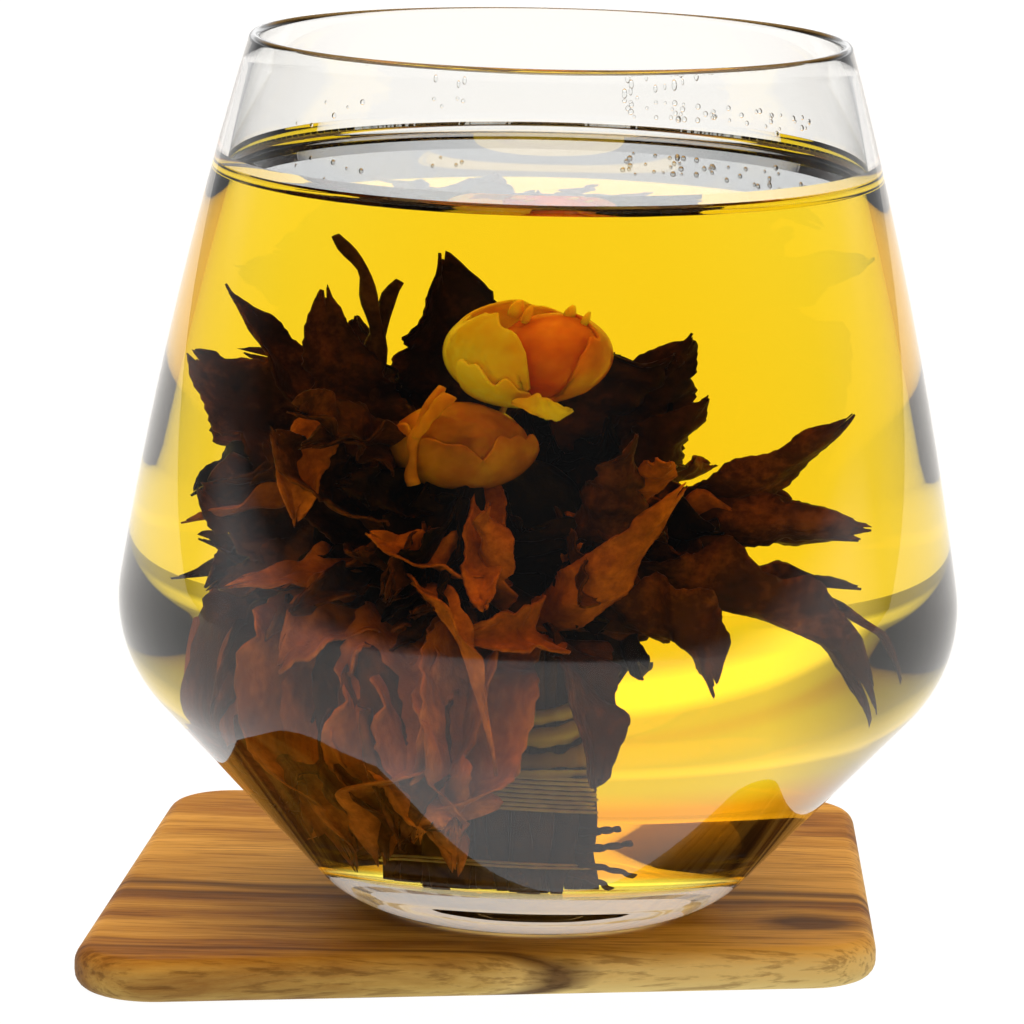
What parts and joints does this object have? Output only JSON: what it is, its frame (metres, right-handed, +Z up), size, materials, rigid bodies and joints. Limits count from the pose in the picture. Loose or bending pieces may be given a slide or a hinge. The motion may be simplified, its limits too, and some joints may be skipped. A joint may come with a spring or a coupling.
{
  "type": "glass of flowering tea",
  "caption": "Stemless clear glass tumbler of amber tea holding an opened flowering-tea bloom of tied leaves and a globe flower, on a rounded wooden coaster.",
  "frame": {"origin": "on the tumbler's axis, in the plane of the coaster's underside", "axes": "+Z up along the tumbler's axis, -Y towards the viewer of the picture, +X to the viewer's right; the coaster's grain runs along X"},
  "size_m": [0.102, 0.1095, 0.108],
  "materials": {
    "coaster_wood": "matt oiled hardwood with dark streaks and a knot",
    "clear_glass": "clear polished soda-lime glass",
    "tea": "clear golden amber liquid",
    "dark_leaf": "wet pressed tea leaf",
    "leaf": "wet brown tea leaf with a thin translucent edge",
    "pale_leaf": "wet orange-brown tea leaf",
    "stem": "wet brown stem",
    "thread": "fine twisted cotton thread",
    "flower": "wet translucent yellow-orange petals"
  },
  "bodies": {
    "coaster": {"coaster": "coaster_wood"},
    "glass": {"tumbler": "clear_glass", "tea_liquor": "tea"},
    "bloom": {"bloom_heart": "dark_leaf", "binding_thread": "thread", "stem_tie": "thread", "bundle_stem_1": "stem", "bundle_stem_2": "stem", "bundle_stem_3": "stem", "bundle_stem_4": "stem", "bundle_stem_5": "stem", "bundle_stem_6": "stem", "bundle_stem_7": "stem", "loose_stem_1": "stem", "loose_stem_2": "stem", "crown_leaf_1": "leaf", "crown_leaf_2": "leaf", "crown_leaf_3": "leaf", "crown_leaf_4": "leaf", "crown_leaf_5": "leaf", "crown_leaf_6": "leaf", "crown_leaf_7": "leaf", "crown_leaf_8": "leaf", "side_leaf_1": "leaf", "side_leaf_2": "leaf", "side_leaf_3": "leaf", "side_leaf_4": "leaf", "side_leaf_5": "leaf", "side_leaf_6": "leaf", "side_leaf_7": "leaf", "side_leaf_8": "leaf", "side_leaf_9": "leaf", "side_leaf_10": "leaf", "side_leaf_11": "leaf", "side_leaf_12": "leaf", "side_leaf_13": "leaf", "front_leaf_1": "pale_leaf", "front_leaf_2": "pale_leaf", "front_leaf_3": "pale_leaf", "front_leaf_4": "pale_leaf", "front_leaf_5": "pale_leaf", "front_leaf_6": "pale_leaf", "front_leaf_7": "pale_leaf", "front_leaf_8": "pale_leaf", "skirt_leaf_1": "leaf", "skirt_leaf_2": "leaf", "skirt_leaf_3": "leaf", "skirt_leaf_4": "leaf", "skirt_leaf_5": "leaf", "skirt_leaf_6": "leaf", "skirt_leaf_7": "leaf", "skirt_leaf_8": "leaf", "skirt_leaf_9": "leaf", "skirt_leaf_10": "leaf", "lower_flower": "flower", "upper_flower": "flower", "flower_core": "flower", "flower_petal": "flower", "flower_stalk": "stem", "flower_thread": "thread"}
  },
  "joints": [
    {"name": "glass_lift", "type": "slide", "parent": "coaster", "child": "glass", "axis": [0, 0, 1], "range_m": [0, 0.04]},
    {"name": "bloom_lift", "type": "slide", "parent": "glass", "child": "bloom", "axis": [0, 0, 1], "range_m": [0, 0.105], "deforming": ["tea_liquor"]}
  ]
}
